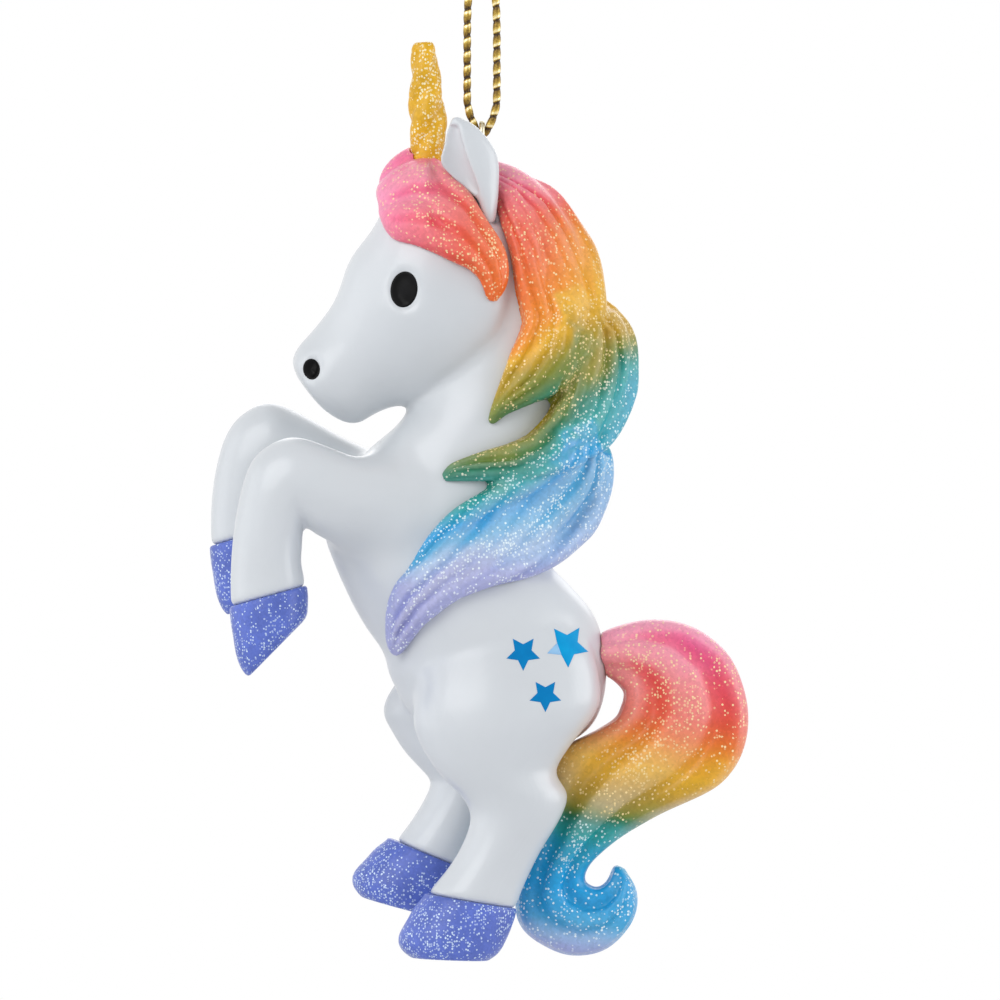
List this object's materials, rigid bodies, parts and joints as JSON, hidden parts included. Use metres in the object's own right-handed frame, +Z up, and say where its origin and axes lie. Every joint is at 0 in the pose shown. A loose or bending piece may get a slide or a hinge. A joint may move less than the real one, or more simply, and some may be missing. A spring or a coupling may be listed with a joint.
{
  "type": "hanging unicorn figurine",
  "caption": "Small rearing unicorn in glossy white resin with a flowing rainbow mane and tail, twisted horn and star patches, hung by an eye pin from a looped cord",
  "frame": {"origin": "Inside the cord's loop, just under the knot, where a hook carries the ornament", "axes": "+Z up along the hanging cord, -X the way the unicorn faces, -Y its left side, which faces the viewer"},
  "size_m": [0.0675, 0.0276, 0.1322],
  "materials": {
    "white_resin": "white cast resin under a gloss coat",
    "lavender_glitter": "lavender paint with fine glitter",
    "black_gloss": "black gloss paint",
    "gold_glitter": "gold paint with glitter",
    "rainbow_hair": "pearl paint running from pink through orange, yellow, green and teal to lavender",
    "wire": "bent wire",
    "gold_cord": "braided metallic gold cord"
  },
  "bodies": {
    "hanger": {"hanging_cord": "gold_cord", "cord_knot": "gold_cord"},
    "figure": {"torso": "white_resin", "head": "white_resin", "left_ear": "white_resin", "right_ear": "white_resin", "left_foreleg": "white_resin", "right_foreleg": "white_resin", "left_hind_leg": "white_resin", "right_hind_leg": "white_resin", "left_fore_hoof": "lavender_glitter", "right_fore_hoof": "lavender_glitter", "left_hind_hoof": "lavender_glitter", "right_hind_hoof": "lavender_glitter", "left_eye": "black_gloss", "right_eye": "black_gloss", "left_nostril": "black_gloss", "right_nostril": "black_gloss", "horn": "gold_glitter", "forelock": "rainbow_hair", "mane": "rainbow_hair", "tail": "rainbow_hair", "eye_pin": "wire"}
  },
  "joints": [
    {"name": "figure_swing", "type": "hinge", "parent": "hanger", "child": "figure", "pos_m": [0, 0, -0.021], "axis": [0, 1, 0], "range_deg": [-90, 12]}
  ]
}
